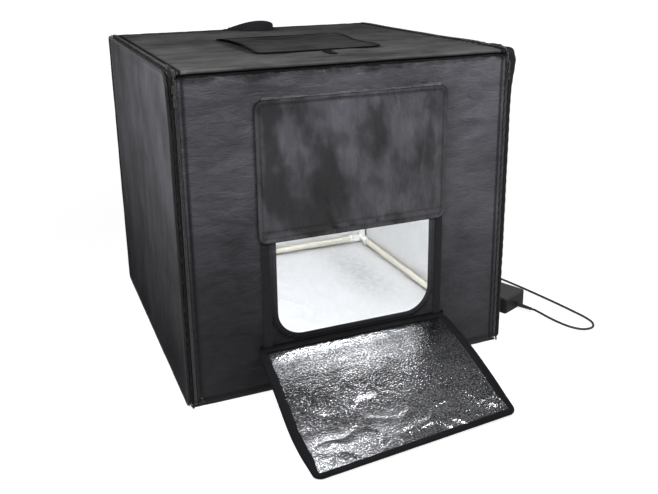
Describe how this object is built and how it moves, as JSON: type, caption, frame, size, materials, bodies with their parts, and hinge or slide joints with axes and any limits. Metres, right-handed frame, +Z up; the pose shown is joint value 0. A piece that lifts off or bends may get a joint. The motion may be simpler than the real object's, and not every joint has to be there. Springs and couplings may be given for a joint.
{
  "type": "light tent cube",
  "caption": "Folding cube of black cloth with a silver lining, a front window with flaps, a lid opened by zips, a tube frame and light bars inside, for taking photographs of small things.",
  "frame": {"origin": "middle of the tent's underside, on the surface that it stands on", "axes": "+X to the right and +Y to the back as seen from the front, +Z up"},
  "size_m": [0.8152, 0.8573, 0.5782],
  "materials": {
    "black_coated_cloth": "satin, finely creased coating",
    "silver_foil": "bright silver foil coating, crumpled",
    "black_binding": "matte woven",
    "zip_tape": "matte woven",
    "zip_metal": "satin",
    "frame_tube": "satin",
    "white_moulding": "matte",
    "black_webbing": "matte woven",
    "loop_tape": "matte, looped pile",
    "bar_housing": "matte",
    "circuit_board": "satin",
    "frosted_cover": "frosted",
    "adapter_case": "finely textured",
    "inlet_moulding": "matte",
    "lead_rubber": "satin",
    "connector_moulding": "satin"
  },
  "bodies": {
    "root": {"floor_panel": "black_coated_cloth", "rear_panel": "black_coated_cloth", "side_panel_left": "black_coated_cloth", "side_panel_right": "black_coated_cloth", "tub_lining": "silver_foil", "edge_piping_left": "black_binding", "edge_piping_right": "black_binding", "zip_tape_left": "zip_tape", "zip_tape_right": "zip_tape", "frame_upright_front_left": "frame_tube", "frame_upright_rear_left": "frame_tube", "frame_upright_front_right": "frame_tube", "frame_upright_rear_right": "frame_tube", "frame_rail_bottom_left": "frame_tube", "frame_rail_bottom_right": "frame_tube", "frame_rail_bottom_front": "frame_tube", "frame_rail_bottom_rear": "frame_tube", "frame_rail_top_left": "frame_tube", "frame_rail_top_right": "frame_tube", "frame_rail_top_front": "frame_tube", "frame_rail_top_rear": "frame_tube", "corner_socket_bottom_front_left": "white_moulding", "corner_socket_bottom_rear_left": "white_moulding", "corner_socket_bottom_front_right": "white_moulding", "corner_socket_bottom_rear_right": "white_moulding", "corner_socket_top_front_left": "white_moulding", "corner_socket_top_rear_left": "white_moulding", "corner_socket_top_front_right": "white_moulding", "corner_socket_top_rear_right": "white_moulding", "adapter_lower_shell": "adapter_case", "adapter_upper_shell": "adapter_case", "adapter_inlet": "inlet_moulding", "adapter_board": "circuit_board", "lead_strain_relief": "lead_rubber", "lead_free_run": "lead_rubber", "lead_coil": "lead_rubber", "lead_connector": "connector_moulding"},
    "roof": {"roof_panel": "black_coated_cloth", "roof_lining": "silver_foil", "roof_flap_tab": "black_webbing"},
    "roof_flap": {"roof_flap": "black_coated_cloth"},
    "handle": {"carry_handle": "black_webbing"},
    "door": {"door_panel": "black_coated_cloth", "door_lining": "silver_foil", "window_loop_strip_left": "loop_tape", "window_loop_strip_right": "loop_tape"},
    "upper_flap": {"upper_flap": "black_coated_cloth"},
    "lower_flap": {"lower_flap_cloth": "black_coated_cloth", "lower_flap_facing": "silver_foil", "lower_flap_binding": "black_binding"},
    "door_slider_left": {"door_zip_slider_left": "zip_metal"},
    "door_slider_right": {"door_zip_slider_right": "zip_metal"},
    "roof_slider_left": {"roof_zip_slider_left": "zip_metal"},
    "roof_slider_right": {"roof_zip_slider_right": "zip_metal"},
    "light_bar_front": {"light_bar_front_housing": "bar_housing", "light_bar_front_board": "circuit_board", "light_bar_front_diffuser": "frosted_cover"},
    "light_bar_rear": {"light_bar_rear_housing": "bar_housing", "light_bar_rear_board": "circuit_board", "light_bar_rear_diffuser": "frosted_cover"}
  },
  "joints": [
    {"name": "roof_hinge", "type": "hinge", "parent": "root", "child": "roof", "pos_m": [0, 0.3, 0.555], "axis": [-1, 0, 0], "range_deg": [0, 95]},
    {"name": "door_hinge", "type": "hinge", "parent": "roof", "child": "door", "pos_m": [0, -0.3, 0.54485], "axis": [-1, 0, 0], "range_deg": [0, 90]},
    {"name": "upper_flap_hinge", "type": "hinge", "parent": "door", "child": "upper_flap", "pos_m": [0, -0.30285, 0.503], "axis": [-1, 0, 0], "range_deg": [0, 150]},
    {"name": "lower_flap_hinge", "type": "hinge", "parent": "door", "child": "lower_flap", "pos_m": [0, -0.301, 0.076], "axis": [-1, 0, 0], "range_deg": [0, 84]},
    {"name": "roof_flap_hinge", "type": "hinge", "parent": "roof", "child": "roof_flap", "pos_m": [0, 0.085, 0.5564], "axis": [-1, 0, 0], "range_deg": [0, 150]},
    {"name": "handle_hinge", "type": "hinge", "parent": "roof", "child": "handle", "pos_m": [0, 0.284, 0.5574], "axis": [-1, 0, 0], "range_deg": [0, 90]},
    {"name": "door_zip_left", "type": "slide", "parent": "root", "child": "door_slider_left", "axis": [0, 0, -1], "range_m": [0, 0.495]},
    {"name": "door_zip_right", "type": "slide", "parent": "root", "child": "door_slider_right", "axis": [0, 0, -1], "range_m": [0, 0.495]},
    {"name": "roof_zip_left", "type": "slide", "parent": "root", "child": "roof_slider_left", "axis": [0, 1, 0], "range_m": [0, 0.54]},
    {"name": "roof_zip_right", "type": "slide", "parent": "root", "child": "roof_slider_right", "axis": [0, 1, 0], "range_m": [0, 0.54]},
    {"name": "light_bar_front_slide", "type": "slide", "parent": "root", "child": "light_bar_front", "axis": [0, 1, 0], "range_m": [-0.086, 0.125]},
    {"name": "light_bar_rear_slide", "type": "slide", "parent": "root", "child": "light_bar_rear", "axis": [0, 1, 0], "range_m": [-0.125, 0.086]}
  ]
}
